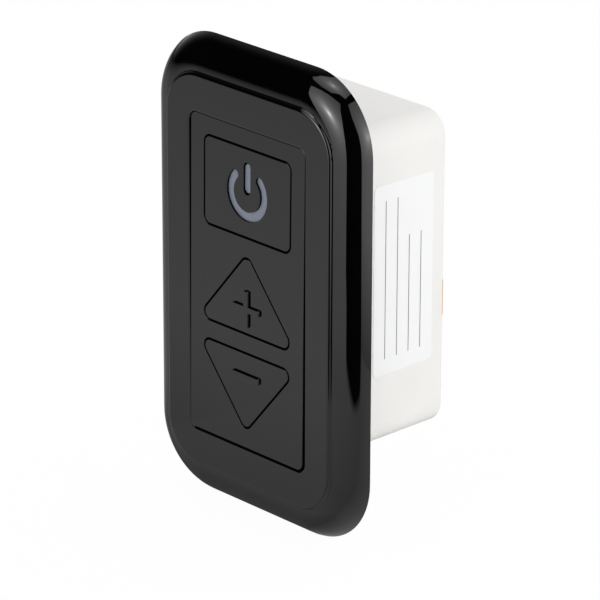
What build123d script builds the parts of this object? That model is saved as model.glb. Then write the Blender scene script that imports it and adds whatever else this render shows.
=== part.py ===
from build123d import *
import os
from math import cos, radians, sin, tan

# A wall dimmer with a snap-on cover plate, a keypad of three buttons and a housing for the wall box.
# The wall is the XZ plane. The front faces -Y, and heights are measured from the wall towards the front.

# Cover plate
cover_width = 69.85
cover_height = 114.3
cover_corner = 18.0
cover_wall = 1.8
roll_radius = 9.22
roll_tilt = 66.3
cavity_height = 4.1
cavity_taper = 47.0
edge_break = 0.15
window_rounding = 0.5

# Raised panel of the cover
border_x = 8.175
border_z = 9.15
panel_width = cover_width - 2 * border_x
panel_length = cover_height - 2 * border_z
panel_corner = cover_corner - border_x
panel_height = 6.3
step_radius = 0.88
step_tilt = 62.0
skirt_tilt = 20.0
skirt_run = 1.0

# Snap plate under the cover, and the cover's hooks
snap_thickness = 1.6
seat_gap = 0.2
hook_thickness = 1.4
hook_length = 8.0
hook_reach = 0.9
hook_spacing = 60.0
hook_clearance = 0.15
hook_end = 0.4

# Mounting yoke and its screws
yoke_width = 44.0
yoke_end = 4.1
yoke_thickness = 1.5
yoke_corner = 4.0
yoke_window_inset = 6.05
plate_screw_inset = 8.75
screw_row_gap = 6.75
plate_screw_spacing = cover_height - 2 * plate_screw_inset
box_screw_spacing = plate_screw_spacing - 2 * screw_row_gap
yoke_length = plate_screw_spacing + 2 * yoke_end
box_screw_hole_radius = 2.0
box_screw_head_radius = 3.5
plate_screw_radius = 1.6
plate_screw_head_radius = 3.0
plate_screw_length = 6.0
thread_clearance = 0.05

# Keypad, which sits high in the cover's window, with its upper end sunk and its lower end standing out
keypad_tilt = 0.54
keypad_rise = 0.19
keypad_sink = 0.04
insert_border_x = 7.6
insert_border_z = 8.85
insert_width = panel_width - 2 * insert_border_x
insert_length = panel_length - 2 * insert_border_z
insert_corner = 1.8
insert_gap = 0.3
insert_thickness = 2.0
insert_rib = 1.0
insert_rib_end = 3.15
rib_margin = 0.35
button_gap = 0.45
button_corner = 1.7
button_travel = 0.5
flange_lip = 0.6
flange_gap = 0.15
flange_thickness = 0.9

# Power button and its symbol
power_width = 28.6
power_length = 21.2
power_above = 4.75
symbol_x = -0.05
symbol_drop = 0.15
symbol_radius = 5.6
symbol_stroke = 2.35
symbol_opening = 47.5
symbol_bar_low = -0.35
symbol_bar_high = 7.5
symbol_recess = 0.55
lens_radius = 8.4
lens_thickness = 1.0
lens_gap = 0.05
lens_bar_gap = 0.45

# Up and down buttons with raised signs
arrow_width = 32.2
arrow_above = 4.55
arrow_between = 5.25
arrow_below = 4.35
arrows_length = insert_length - power_above - power_length - arrow_above - arrow_below
arrow_length = (arrows_length - arrow_between) / 2
power_z = insert_length / 2 - power_above - power_length / 2
up_base_z = power_z - power_length / 2 - arrow_above - arrow_length
down_base_z = up_base_z - arrow_between
plus_offset = 6.0
minus_offset = 5.6
sign_x = 0.2
sign_length = 9.15
sign_stroke = 1.7
sign_rise = 0.55
sign_corner = 0.5
sign_rounding = 0.25

# Tact switches
post_radius = 2.2
plunger_radius = 1.75
plunger_proud = 1.0
plunger_depth = 0.8
plunger_gap = 0.15
switch_size = 6.0
switch_height = 3.5
well_floor_gap = 0.3

# Rear housing
housing_width = 42.5
housing_end_gap = 2.6
housing_length = box_screw_spacing - 2 * housing_end_gap
housing_depth = 36.8
housing_corner = 6.0
housing_wall = 2.0
housing_edge = 0.8
boss_radius = 2.8
boss_inset_x = 4.75
boss_inset_z = 4.05
boss_x = housing_width / 2 - boss_inset_x
boss_z = housing_length / 2 - boss_inset_z
boss_length = 12.0
pilot_radius = 1.05
housing_screw_length = 9.0
housing_screw_radius = 1.0
housing_screw_head_radius = 2.0

# Label on the housing's right side
label_width = 19.0
label_length = 46.8
label_y = 23.3
label_z = 2.6
label_thickness = 0.15

# Circuit boards
board_thickness = 1.6
board_standoff = 3.0
control_gap = 1.2
control_board_width = housing_width - 2 * housing_wall - 2 * control_gap
control_board_length = 2 * boss_z - 2 * boss_radius - 2 * control_gap
spacer_radius = 2.0
spacer_inset_x = 3.05
spacer_inset_z = 4.0
spacer_x = control_board_width / 2 - spacer_inset_x
spacer_z = control_board_length / 2 - spacer_inset_z
board_screw_radius = 1.0
board_screw_head_radius = 1.9
board_screw_head = 1.0
power_gap = 0.8
power_board_width = housing_width - 2 * housing_wall - 2 * power_gap
power_board_length = housing_length - 2 * housing_wall - 2 * power_gap
power_board_corner = 3.0
power_boss_radius = 2.5
power_boss_height = 3.2
power_boss_inset = 3.2
power_boss_x = power_board_width / 2 - power_boss_inset
power_boss_z = power_board_length / 2 - power_boss_inset

# Terminal block at the rear
pole_count = 3
pole_pitch = 10.16
pole_height = 10.0
pole_proud = 5.8
pole_z = -9.9
pole_gap = 0.3
pole_chamfer = 0.6
wire_radius = 1.7
wire_depth = 8.0
clamp_screw_radius = 1.5
clamp_screw_length = 2.4
clamp_screw_recess = 0.4
clamp_screw_gap = 0.1
clamp_screw_inset = 3.0

# Heights that follow from the sizes above
snap_front = yoke_thickness + snap_thickness
snap_inset = cover_wall + (snap_front + seat_gap) * tan(radians(cavity_taper))
snap_width = cover_width - 2 * snap_inset
snap_length = cover_height - 2 * snap_inset
snap_corner = cover_corner - snap_inset
insert_back = panel_height - insert_thickness
flange_top = insert_back - flange_gap
flange_back = flange_top - flange_thickness
switch_front = switch_height - board_standoff
switch_well = plunger_depth + button_travel + well_floor_gap
plunger_top = switch_front + plunger_proud
control_back = board_standoff + board_thickness
power_board_back = housing_depth - housing_wall - power_boss_height
power_board_front = power_board_back - board_thickness
up_sign_z = up_base_z + plus_offset
down_sign_z = down_base_z - minus_offset
snap_window_width = insert_width - 2 * insert_rib - 2 * rib_margin
snap_window_length = box_screw_spacing - 2 * box_screw_head_radius - 2 * insert_rib
button_centres = {"power": power_z, "up": up_sign_z, "down": down_sign_z}

tilt = radians(keypad_tilt)
keypad = Plane(origin=(0, keypad_sink, keypad_rise), x_dir=(1, 0, 0), z_dir=(0, -cos(tilt), sin(tilt)))

os.makedirs("parts", exist_ok=True)


def level(height):
    """Plane parallel to the wall, facing the front, at this height."""
    return Plane.XZ.offset(height)


def behind(depth):
    """Plane parallel to the wall, facing the rear, at this depth inside the wall."""
    return Plane(origin=(0, depth, 0), x_dir=(-1, 0, 0), z_dir=(0, 1, 0))


def outline(button, grow=0.0):
    """Outline of a button's face in the keypad's plane, grown all round."""
    with BuildSketch(mode=Mode.PRIVATE) as face:
        if button == "power":
            with Locations((0, power_z)):
                RectangleRounded(power_width, power_length, button_corner)
        else:
            base = up_base_z if button == "up" else down_base_z
            tip = base + arrow_length if button == "up" else base - arrow_length
            Polygon((-arrow_width / 2, base), (arrow_width / 2, base), (0, tip), align=None)
            fillet(face.vertices(), button_corner)
        if grow:
            offset(amount=grow)
    return face.sketch


def power_symbol(shrink=0.0, bar_gap=0.0):
    """Open ring and bar of the power symbol in the keypad's plane, with gaps at the bar's ends."""
    stroke = symbol_stroke - 2 * shrink
    bar = symbol_bar_high - symbol_bar_low - 2 * bar_gap
    symbol_z = power_z - symbol_drop
    with BuildSketch(mode=Mode.PRIVATE) as face:
        with Locations((symbol_x, symbol_z)):
            SlotArc(CenterArc((0, 0), symbol_radius, 90 + symbol_opening, 360 - 2 * symbol_opening), stroke)
        with Locations((symbol_x, symbol_z + (symbol_bar_low + symbol_bar_high) / 2)):
            SlotOverall(bar, stroke, rotation=90)
    return face.sketch


# Cover plate: one glossy moulding with a rolled rim, a stepped panel and a window
step_rise = step_radius * (cos(radians(skirt_tilt)) - 2 * cos(radians(step_tilt)) + 1)
step_run = step_radius * (2 * sin(radians(step_tilt)) - sin(radians(skirt_tilt)))
foot_height = panel_height - step_rise
roll_reach = roll_radius * sin(radians(roll_tilt))
roll_crown = roll_radius * (1 - cos(radians(roll_tilt)))
rim_depth = roll_reach + skirt_run
half_width = cover_width / 2
half_height = cover_height / 2
foot_x = panel_width / 2 + step_run
foot_z = panel_length / 2 + step_run
with BuildPart() as front_cover:
    with BuildLine(Plane.XZ) as rim_path:
        FilletPolyline((half_width, 0), (half_width, half_height), (0, half_height), radius=cover_corner)
    with BuildSketch(Plane(origin=(half_width, 0, 0), x_dir=(-1, 0, 0), z_dir=(0, 0, 1))):
        with BuildLine():
            CenterArc((roll_reach, roll_crown - roll_radius), roll_radius, 90, roll_tilt)
            Polyline((roll_reach, roll_crown), (rim_depth, roll_crown), (rim_depth, 0), (0, 0))
        make_face()
    sweep(path=rim_path.wire())
    with BuildLine(Plane.XZ) as step_path:
        FilletPolyline((foot_x, 0), (foot_x, foot_z), (0, foot_z), radius=panel_corner + step_run)
    with BuildSketch(Plane(origin=(foot_x, 0, 0), x_dir=(-1, 0, 0), z_dir=(0, 0, 1))):
        with BuildLine():
            hollow_x = -step_radius * sin(radians(skirt_tilt))
            hollow_y = foot_height + step_radius * cos(radians(skirt_tilt))
            CenterArc((hollow_x, hollow_y), step_radius, skirt_tilt - 90, step_tilt - skirt_tilt)
            CenterArc((step_run, panel_height - step_radius), step_radius, 90, step_tilt)
            skirt_low = foot_height - skirt_run * tan(radians(skirt_tilt))
            Line((-skirt_run, skirt_low), (0, foot_height))
            Polyline(
                (step_run, panel_height),
                (step_run + skirt_run, panel_height),
                (step_run + skirt_run, cavity_height),
                (-skirt_run, cavity_height),
                (-skirt_run, skirt_low),
            )
        make_face()
    sweep(path=step_path.wire())
    mirror(about=Plane.XY)
    mirror(about=Plane.YZ)
    with BuildSketch(level(cavity_height)):
        RectangleRounded(panel_width - skirt_run, panel_length - skirt_run, panel_corner)
    extrude(amount=panel_height - cavity_height)
    with BuildSketch(level(0)):
        RectangleRounded(
            cover_width - 2 * cover_wall, cover_height - 2 * cover_wall, cover_corner - cover_wall
        )
    extrude(amount=cavity_height, taper=cavity_taper, mode=Mode.SUBTRACT)
    with BuildSketch(level(0)):
        RectangleRounded(
            insert_width + 2 * insert_gap, insert_length + 2 * insert_gap, insert_corner + insert_gap
        )
    extrude(amount=panel_height, mode=Mode.SUBTRACT)
    panel_face = front_cover.faces().filter_by(Axis.Y).sort_by(Axis.Y)[0]
    fillet(panel_face.inner_wires()[0].edges(), window_rounding)
    hook_x = snap_width / 2 + seat_gap
    hook_root = (half_width - hook_x - cover_wall) / tan(radians(cavity_taper)) + hook_end
    barb_top = yoke_thickness - hook_clearance
    for side_z in (-hook_spacing / 2, hook_spacing / 2):
        with BuildSketch(Plane.XY.offset(side_z - hook_length / 2)):
            Polygon(
                (hook_x, -hook_root),
                (hook_x + hook_thickness, -hook_root),
                (hook_x + hook_thickness, -hook_end),
                (hook_x, -hook_end),
                (hook_x - hook_reach, -barb_top),
                (hook_x, -barb_top),
                align=None,
            )
        hook = extrude(amount=hook_length)
        mirror(hook, about=Plane.YZ)
front_cover.part.label = "front_cover"
export_step(front_cover.part, "parts/front_cover.step")

# Snap plate: flat moulded frame that the cover clips over
with BuildPart() as snap_plate:
    with BuildSketch(level(yoke_thickness)):
        RectangleRounded(snap_width, snap_length, snap_corner)
        RectangleRounded(snap_window_width, snap_window_length, insert_corner, mode=Mode.SUBTRACT)
        with GridLocations(0, box_screw_spacing, 1, 2):
            Circle(box_screw_head_radius, mode=Mode.SUBTRACT)
    extrude(amount=snap_thickness)
    with Locations(level(snap_front)):
        with GridLocations(0, plate_screw_spacing, 1, 2):
            CounterSinkHole(plate_screw_radius + thread_clearance, plate_screw_head_radius + thread_clearance)
snap_plate.part.label = "snap_plate"
export_step(snap_plate.part, "parts/snap_plate.step")

# Screws that hold the snap plate on the yoke
plate_screw_head = plate_screw_head_radius - plate_screw_radius
with BuildPart() as snap_plate_screws:
    with BuildSketch(level(snap_front)):
        with GridLocations(0, plate_screw_spacing, 1, 2):
            Circle(plate_screw_radius)
    extrude(amount=-plate_screw_length)
    with BuildSketch(level(snap_front)):
        with GridLocations(0, plate_screw_spacing, 1, 2):
            Circle(plate_screw_head_radius)
    extrude(amount=-plate_screw_head, taper=45)
snap_plate_screws.part.label = "snap_plate_screws"
export_step(snap_plate_screws.part, "parts/snap_plate_screws.step")

# Mounting yoke: stamped aluminium strap between the snap plate and the housing
with BuildPart() as mounting_yoke:
    with BuildSketch(level(0)):
        RectangleRounded(yoke_width, yoke_length, yoke_corner)
        RectangleRounded(
            2 * spacer_x - 2 * spacer_radius,
            housing_length - 2 * yoke_window_inset,
            insert_corner,
            mode=Mode.SUBTRACT,
        )
        with GridLocations(0, box_screw_spacing, 1, 2):
            Circle(box_screw_hole_radius, mode=Mode.SUBTRACT)
        with GridLocations(0, plate_screw_spacing, 1, 2):
            Circle(plate_screw_radius + thread_clearance, mode=Mode.SUBTRACT)
    extrude(amount=yoke_thickness)
    with Locations(level(yoke_thickness)):
        with GridLocations(2 * boss_x, 2 * boss_z, 2, 2):
            CounterSinkHole(
                housing_screw_radius + thread_clearance, housing_screw_head_radius + thread_clearance
            )
mounting_yoke.part.label = "mounting_yoke"
export_step(mounting_yoke.part, "parts/mounting_yoke.step")

# Keypad insert: glossy plate with three openings, on two ribs
rib_x = insert_width / 2 - insert_rib / 2
with BuildPart() as keypad_insert:
    with BuildSketch(keypad.offset(insert_back)):
        RectangleRounded(insert_width, insert_length, insert_corner)
        for button in button_centres:
            add(outline(button, button_gap), mode=Mode.SUBTRACT)
    extrude(amount=insert_thickness)
    fillet(keypad_insert.faces().filter_by(keypad).sort_by(Axis.Y)[0].edges(), edge_break)
    with BuildSketch(level(snap_front)):
        with Locations((0, keypad_rise)):
            with GridLocations(2 * rib_x, 0, 2, 1):
                Rectangle(insert_rib, insert_length - 2 * insert_rib_end)
    extrude(amount=insert_back + insert_thickness / 2 - snap_front)
keypad_insert.part.label = "keypad_insert"
export_step(keypad_insert.part, "parts/keypad_insert.step")

# Power button: flush cap with a flange behind, cut through for the symbol
lens_shelf = flange_back + lens_thickness
with BuildPart() as power_button:
    with BuildSketch(keypad.offset(flange_back)):
        add(outline("power"))
    extrude(amount=panel_height - flange_back)
    fillet(power_button.faces().filter_by(keypad).sort_by(Axis.Y)[0].edges(), edge_break)
    with BuildSketch(keypad.offset(flange_back)):
        add(outline("power", button_gap + flange_lip))
    extrude(amount=flange_thickness)
    with BuildSketch(keypad.offset(flange_back)):
        add(power_symbol())
    extrude(amount=panel_height - flange_back, mode=Mode.SUBTRACT)
    with BuildSketch(keypad.offset(flange_back)):
        with Locations((0, power_z)):
            Circle(lens_radius)
    extrude(amount=lens_thickness, mode=Mode.SUBTRACT)
power_button.part.label = "power_button"
export_step(power_button.part, "parts/power_button.step")

# Power symbol lens: clear disc behind the button, with the symbol standing up and a post behind
with BuildPart() as power_symbol_lens:
    with BuildSketch(keypad.offset(flange_back)):
        with Locations((0, power_z)):
            Circle(lens_radius - lens_gap)
    extrude(amount=lens_thickness)
    with BuildSketch(keypad.offset(lens_shelf)):
        add(power_symbol(lens_gap, lens_bar_gap))
    extrude(amount=panel_height - symbol_recess - lens_shelf)
    with BuildSketch(keypad.offset(flange_back)):
        with Locations((0, power_z)):
            Circle(post_radius)
    extrude(amount=plunger_top - flange_back)
power_symbol_lens.part.label = "power_symbol_lens"
export_step(power_symbol_lens.part, "parts/power_symbol_lens.step")

# Up and down buttons: flush caps with flanges, posts and raised signs
for arrow, sign_z in (("up", up_sign_z), ("down", down_sign_z)):
    with BuildPart() as arrow_button:
        with BuildSketch(keypad.offset(flange_back)):
            add(outline(arrow))
        extrude(amount=panel_height - flange_back)
        fillet(arrow_button.faces().filter_by(keypad).sort_by(Axis.Y)[0].edges(), edge_break)
        with BuildSketch(keypad.offset(flange_back)):
            add(outline(arrow, button_gap + flange_lip))
        extrude(amount=flange_thickness)
        with BuildSketch(keypad.offset(flange_back)):
            with Locations((0, sign_z)):
                Circle(post_radius)
        extrude(amount=plunger_top - flange_back)
        with BuildSketch(keypad.offset(panel_height)):
            with Locations((sign_x, sign_z)):
                RectangleRounded(sign_length, sign_stroke, sign_corner)
                if arrow == "up":
                    RectangleRounded(sign_stroke, sign_length, sign_corner)
        extrude(amount=sign_rise)
        fillet(arrow_button.faces().filter_by(keypad).sort_by(Axis.Y)[0].edges(), sign_rounding)
    arrow_button.part.label = f"{arrow}_button"
    export_step(arrow_button.part, f"parts/{arrow}_button.step")

# Tact switches on the control board, each with its plunger under a button's post
for button, centre_z in button_centres.items():
    with BuildPart() as switch:
        with BuildSketch(level(switch_front)):
            with Locations((0, keypad_rise + centre_z)):
                Rectangle(switch_size, switch_size)
        extrude(amount=-switch_height)
        with BuildSketch(level(switch_front)):
            with Locations((0, keypad_rise + centre_z)):
                Circle(plunger_radius + plunger_gap)
        extrude(amount=-switch_well, mode=Mode.SUBTRACT)
    switch.part.label = f"{button}_switch"
    export_step(switch.part, f"parts/{button}_switch.step")
    with BuildPart() as plunger:
        with BuildSketch(keypad.offset(plunger_top)):
            with Locations((0, centre_z)):
                Circle(plunger_radius)
        extrude(amount=-plunger_proud - plunger_depth)
    plunger.part.label = f"{button}_plunger"
    export_step(plunger.part, f"parts/{button}_plunger.step")

# Rear housing: white moulded box, open to the front, with bosses and a window for the terminals
terminal_width = pole_count * pole_pitch
with BuildPart() as rear_housing:
    with BuildSketch(level(0)):
        RectangleRounded(housing_width, housing_length, housing_corner)
    extrude(amount=-housing_depth)
    fillet(rear_housing.faces().filter_by(Axis.Y).sort_by(Axis.Y)[-1].edges(), housing_edge)
    with BuildSketch(level(0)):
        RectangleRounded(
            housing_width - 2 * housing_wall, housing_length - 2 * housing_wall, housing_corner - housing_wall
        )
    extrude(amount=housing_wall - housing_depth, mode=Mode.SUBTRACT)
    with BuildSketch(level(0)):
        RectangleRounded(housing_width - housing_wall, housing_length - housing_wall, housing_corner)
        with GridLocations(2 * boss_x, 2 * boss_z, 2, 2):
            Circle(boss_radius, mode=Mode.INTERSECT)
    extrude(amount=-boss_length)
    with BuildSketch(level(0)):
        with GridLocations(2 * boss_x, 2 * boss_z, 2, 2):
            Circle(pilot_radius)
    extrude(amount=-boss_length, mode=Mode.SUBTRACT)
    with BuildSketch(level(housing_wall - housing_depth)):
        with GridLocations(2 * power_boss_x, 2 * power_boss_z, 2, 2):
            Circle(power_boss_radius)
            Circle(pilot_radius, mode=Mode.SUBTRACT)
    extrude(amount=power_boss_height)
    with BuildSketch(level(-housing_depth)):
        with Locations((0, pole_z)):
            Rectangle(terminal_width + 2 * pole_gap, pole_height + 2 * pole_gap)
    extrude(amount=housing_wall, mode=Mode.SUBTRACT)
rear_housing.part.label = "rear_housing"
export_step(rear_housing.part, "parts/rear_housing.step")

# Screws that hold the yoke on the housing
housing_screw_head = housing_screw_head_radius - housing_screw_radius
with BuildPart() as housing_screws:
    with BuildSketch(level(yoke_thickness)):
        with GridLocations(2 * boss_x, 2 * boss_z, 2, 2):
            Circle(housing_screw_radius)
    extrude(amount=-housing_screw_length)
    with BuildSketch(level(yoke_thickness)):
        with GridLocations(2 * boss_x, 2 * boss_z, 2, 2):
            Circle(housing_screw_head_radius)
    extrude(amount=-housing_screw_head, taper=45)
housing_screws.part.label = "housing_screws"
export_step(housing_screws.part, "parts/housing_screws.step")

# Label: thin sticker on the housing's right side
with BuildPart() as rating_label:
    with BuildSketch(Plane.YZ.offset(housing_width / 2)):
        with Locations((label_y, label_z)):
            Rectangle(label_width, label_length)
    extrude(amount=label_thickness)
rating_label.part.label = "rating_label"
export_step(rating_label.part, "parts/rating_label.step")

# Control board with its spacers and screws under the yoke
with BuildPart() as control_board:
    with BuildSketch(level(-board_standoff)):
        Rectangle(control_board_width, control_board_length)
        with GridLocations(2 * spacer_x, 2 * spacer_z, 2, 2):
            Circle(board_screw_radius + thread_clearance, mode=Mode.SUBTRACT)
    extrude(amount=-board_thickness)
control_board.part.label = "control_board"
export_step(control_board.part, "parts/control_board.step")

with BuildPart() as board_spacers:
    with BuildSketch(level(0)):
        with GridLocations(2 * spacer_x, 2 * spacer_z, 2, 2):
            Circle(spacer_radius)
            Circle(board_screw_radius + thread_clearance, mode=Mode.SUBTRACT)
    extrude(amount=-board_standoff)
board_spacers.part.label = "board_spacers"
export_step(board_spacers.part, "parts/board_spacers.step")

with BuildPart() as board_screws:
    with BuildSketch(level(-control_back)):
        with GridLocations(2 * spacer_x, 2 * spacer_z, 2, 2):
            Circle(board_screw_radius)
    extrude(amount=control_back - board_thickness / 2)
    with BuildSketch(level(-control_back)):
        with GridLocations(2 * spacer_x, 2 * spacer_z, 2, 2):
            Circle(board_screw_head_radius)
    extrude(amount=-board_screw_head)
board_screws.part.label = "board_screws"
export_step(board_screws.part, "parts/board_screws.step")

# Parts on the control board
led_x = 9.0
led_size = 3.5
led_height = 1.9
with BuildPart() as indicator_led:
    with BuildSketch(level(-board_standoff)):
        with Locations((led_x, power_z)):
            Rectangle(led_size, led_size)
    extrude(amount=led_height)
    chamfer(indicator_led.faces().sort_by(Axis.Y)[0].edges(), edge_break)
indicator_led.part.label = "indicator_led"
export_step(indicator_led.part, "parts/indicator_led.step")

chip_size = 10.0
chip_height = 1.4
chip_z = 10.0
with BuildPart() as microcontroller:
    with BuildSketch(behind(control_back)):
        with Locations((0, chip_z)):
            Rectangle(chip_size, chip_size)
    extrude(amount=chip_height)
    chamfer(microcontroller.edges().filter_by(Axis.Y), edge_break)
microcontroller.part.label = "microcontroller"
export_step(microcontroller.part, "parts/microcontroller.step")

# Pin header between the boards, in a socket on the control board, clear of the transformer's core
core_width = 16.0
core_length = 16.0
core_clearance = 0.3
core_z = core_length / 2 + core_clearance + board_screw_head_radius - power_boss_z
link_pins = 6
link_width = 15.24
link_pitch = link_width / link_pins
link_clearance = 1.7
link_z = core_z + core_length / 2 + link_clearance + link_pitch / 2
socket_thickness = 5.0
socket_height = 8.5
pin_size = 0.64
pin_slot = 1.4
pin_reach = 4.5
header_height = 2.5
socket_back = control_back + socket_height
with BuildPart() as link_socket:
    with BuildSketch(behind(control_back)):
        with Locations((0, link_z)):
            Rectangle(link_width, socket_thickness)
    extrude(amount=socket_height)
    with BuildSketch(behind(socket_back)):
        with Locations((0, link_z)):
            Rectangle(link_width - pin_slot, pin_slot)
    extrude(amount=-pin_reach - pin_size, mode=Mode.SUBTRACT)
link_socket.part.label = "link_socket"
export_step(link_socket.part, "parts/link_socket.step")

with BuildPart() as link_header:
    with BuildSketch(level(-power_board_front)):
        with Locations((0, link_z)):
            Rectangle(link_width, link_pitch)
    extrude(amount=header_height)
    with BuildSketch(level(-power_board_front)):
        with Locations((0, link_z)):
            with GridLocations(link_pitch, 0, link_pins, 1):
                Rectangle(pin_size, pin_size)
    extrude(amount=power_board_front - socket_back + pin_reach)
link_header.part.label = "link_header"
export_step(link_header.part, "parts/link_header.step")

# Power board on the housing's rear bosses
with BuildPart() as power_board:
    with BuildSketch(level(-power_board_front)):
        RectangleRounded(power_board_width, power_board_length, power_board_corner)
        with GridLocations(2 * power_boss_x, 2 * power_boss_z, 2, 2):
            Circle(board_screw_radius + thread_clearance, mode=Mode.SUBTRACT)
    extrude(amount=-board_thickness)
power_board.part.label = "power_board"
export_step(power_board.part, "parts/power_board.step")

with BuildPart() as power_board_screws:
    with BuildSketch(level(-power_board_front)):
        with GridLocations(2 * power_boss_x, 2 * power_boss_z, 2, 2):
            Circle(board_screw_radius)
    extrude(amount=-board_thickness - power_boss_height + housing_edge)
    with BuildSketch(level(-power_board_front)):
        with GridLocations(2 * power_boss_x, 2 * power_boss_z, 2, 2):
            Circle(board_screw_head_radius)
    extrude(amount=board_screw_head)
power_board_screws.part.label = "power_board_screws"
export_step(power_board_screws.part, "parts/power_board_screws.step")

# Wound choke: toroid with a rounded section, lying on the power board
part_edge_gap = 0.95
choke_end_gap = 6.7
choke_bore = 3.8
choke_winding = 5.2
choke_radius = choke_bore + choke_winding
choke_x = choke_radius + part_edge_gap - power_board_width / 2
choke_z = power_board_length / 2 - choke_end_gap - choke_radius
choke_height = 9.0
choke_rounding = 2.2
with BuildPart() as choke_coil:
    with BuildSketch(level(-power_board_front)):
        with Locations((choke_x, choke_z)):
            Circle(choke_radius)
            Circle(choke_bore, mode=Mode.SUBTRACT)
    extrude(amount=choke_height)
    fillet(choke_coil.edges().filter_by(GeomType.CIRCLE), choke_rounding)
choke_coil.part.label = "choke_coil"
export_step(choke_coil.part, "parts/choke_coil.step")

# Reservoir capacitor: rolled aluminium can with a crimped groove, beside the heat sink
sink_length = 20.0
sink_clearance = 1.1
sink_z = sink_length / 2 + sink_clearance + board_screw_head_radius - power_boss_z
can_radius = 4.0
can_edge_gap = 1.45
can_x = power_board_width / 2 - can_edge_gap - can_radius
can_gap = 4.0
can_z = sink_z + sink_length / 2 + can_gap + can_radius
can_height = 14.0
can_groove = 0.4
can_groove_height = 2.2
with BuildPart() as reservoir_capacitor:
    with BuildSketch(level(-power_board_front)):
        with Locations((can_x, can_z)):
            Circle(can_radius)
    extrude(amount=can_height)
    fillet(reservoir_capacitor.faces().sort_by(Axis.Y)[0].edges(), can_groove)
    with BuildSketch(level(can_groove_height - power_board_front)):
        with Locations((can_x, can_z)):
            Circle(can_radius)
            Circle(can_radius - can_groove, mode=Mode.SUBTRACT)
    extrude(amount=can_groove, mode=Mode.SUBTRACT)
reservoir_capacitor.part.label = "reservoir_capacitor"
export_step(reservoir_capacitor.part, "parts/reservoir_capacitor.step")

# Boxed film capacitor, between the can and the screw in the board's corner
film_width = 12.0
film_height = 13.0
film_rounding = 0.8
film_can_gap = 7.5
film_screw_gap = 1.65
film_low = can_z + can_radius + film_can_gap
film_high = power_boss_z - board_screw_head_radius - film_screw_gap
film_length = film_high - film_low
film_z = (film_low + film_high) / 2
film_x = power_board_width / 2 - 2 * part_edge_gap - film_width / 2
with BuildPart() as film_capacitor:
    with BuildSketch(level(-power_board_front)):
        with Locations((film_x, film_z)):
            Rectangle(film_width, film_length)
    extrude(amount=film_height)
    fillet(film_capacitor.faces().sort_by(Axis.Y)[0].edges(), film_rounding)
film_capacitor.part.label = "film_capacitor"
export_step(film_capacitor.part, "parts/film_capacitor.step")

# Supply transformer: laminated core with a bobbin standing through it
core_edge_gap = 1.45
core_x = core_width / 2 + core_edge_gap - power_board_width / 2
core_height = 13.0
bobbin_proud = 1.5
bobbin_length = 9.0
with BuildPart() as supply_transformer:
    with BuildSketch(level(-power_board_front)):
        with Locations((core_x, core_z)):
            Rectangle(core_width, core_length)
    extrude(amount=core_height)
    chamfer(supply_transformer.faces().sort_by(Axis.Y)[0].edges(), edge_break)
    with BuildSketch(level(-power_board_front)):
        with Locations((core_x, core_z)):
            RectangleRounded(core_width - 2 * bobbin_proud, bobbin_length, bobbin_proud)
    extrude(amount=core_height + bobbin_proud)
supply_transformer.part.label = "supply_transformer"
export_step(supply_transformer.part, "parts/supply_transformer.step")

# Heat sink plate on the power board, with the triac flat against it
sink_thickness = 1.5
sink_x = power_board_width / 2 - part_edge_gap - sink_thickness
sink_height = 17.0
with BuildPart() as heat_sink:
    with BuildSketch(level(-power_board_front)):
        with Locations((sink_x + sink_thickness / 2, sink_z)):
            Rectangle(sink_thickness, sink_length)
    extrude(amount=sink_height)
heat_sink.part.label = "heat_sink"
export_step(heat_sink.part, "parts/heat_sink.step")

triac_body = 4.4
triac_width = 10.0
triac_height = 9.0
triac_tab = 1.3
triac_tab_height = 15.0
triac_lead = 0.8
triac_lead_length = 1.8
triac_lead_pitch = 2.54
with BuildPart() as triac:
    with BuildSketch(level(triac_lead_length - power_board_front)):
        with Locations((sink_x - triac_body / 2, sink_z)):
            Rectangle(triac_body, triac_width)
    extrude(amount=triac_height)
    with BuildSketch(level(triac_lead_length - power_board_front)):
        with Locations((sink_x - triac_tab / 2, sink_z)):
            Rectangle(triac_tab, triac_width)
    extrude(amount=triac_tab_height)
    with BuildSketch(level(-power_board_front)):
        with Locations((sink_x - triac_body / 2, sink_z)):
            with GridLocations(0, triac_lead_pitch, 1, 3):
                Rectangle(triac_lead, triac_lead)
    extrude(amount=triac_lead_length)
triac.part.label = "triac"
export_step(triac.part, "parts/triac.step")

# Optocoupler in a small moulded package
opto_x = (core_x + core_width / 2 + sink_x - triac_body) / 2
opto_z = sink_z
opto_width = 6.5
opto_length = 8.5
opto_height = 3.6
with BuildPart() as optocoupler:
    with BuildSketch(level(-power_board_front)):
        with Locations((opto_x, opto_z)):
            Rectangle(opto_width, opto_length)
    extrude(amount=opto_height)
    chamfer(optocoupler.faces().sort_by(Axis.Y)[0].edges(), film_rounding)
optocoupler.part.label = "optocoupler"
export_step(optocoupler.part, "parts/optocoupler.step")

# Fuse: cartridge with two end caps, lying on the power board
fuse_radius = 2.6
fuse_gap = 4.9
fuse_z = choke_z - choke_radius - fuse_gap - fuse_radius
fuse_cap = 0.3
fuse_cap_length = 5.0
fuse_length = 16.0
with BuildPart() as fuse:
    with BuildSketch(Plane.YZ.offset(-fuse_length / 2)):
        with Locations((power_board_front - fuse_radius, fuse_z)):
            Circle(fuse_radius - fuse_cap)
    extrude(amount=fuse_length)
    for cap_x in (-fuse_length / 2, fuse_length / 2 - fuse_cap_length):
        with BuildSketch(Plane.YZ.offset(cap_x)):
            with Locations((power_board_front - fuse_radius, fuse_z)):
                Circle(fuse_radius)
        extrude(amount=fuse_cap_length)
fuse.part.label = "fuse"
export_step(fuse.part, "parts/fuse.step")

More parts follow.
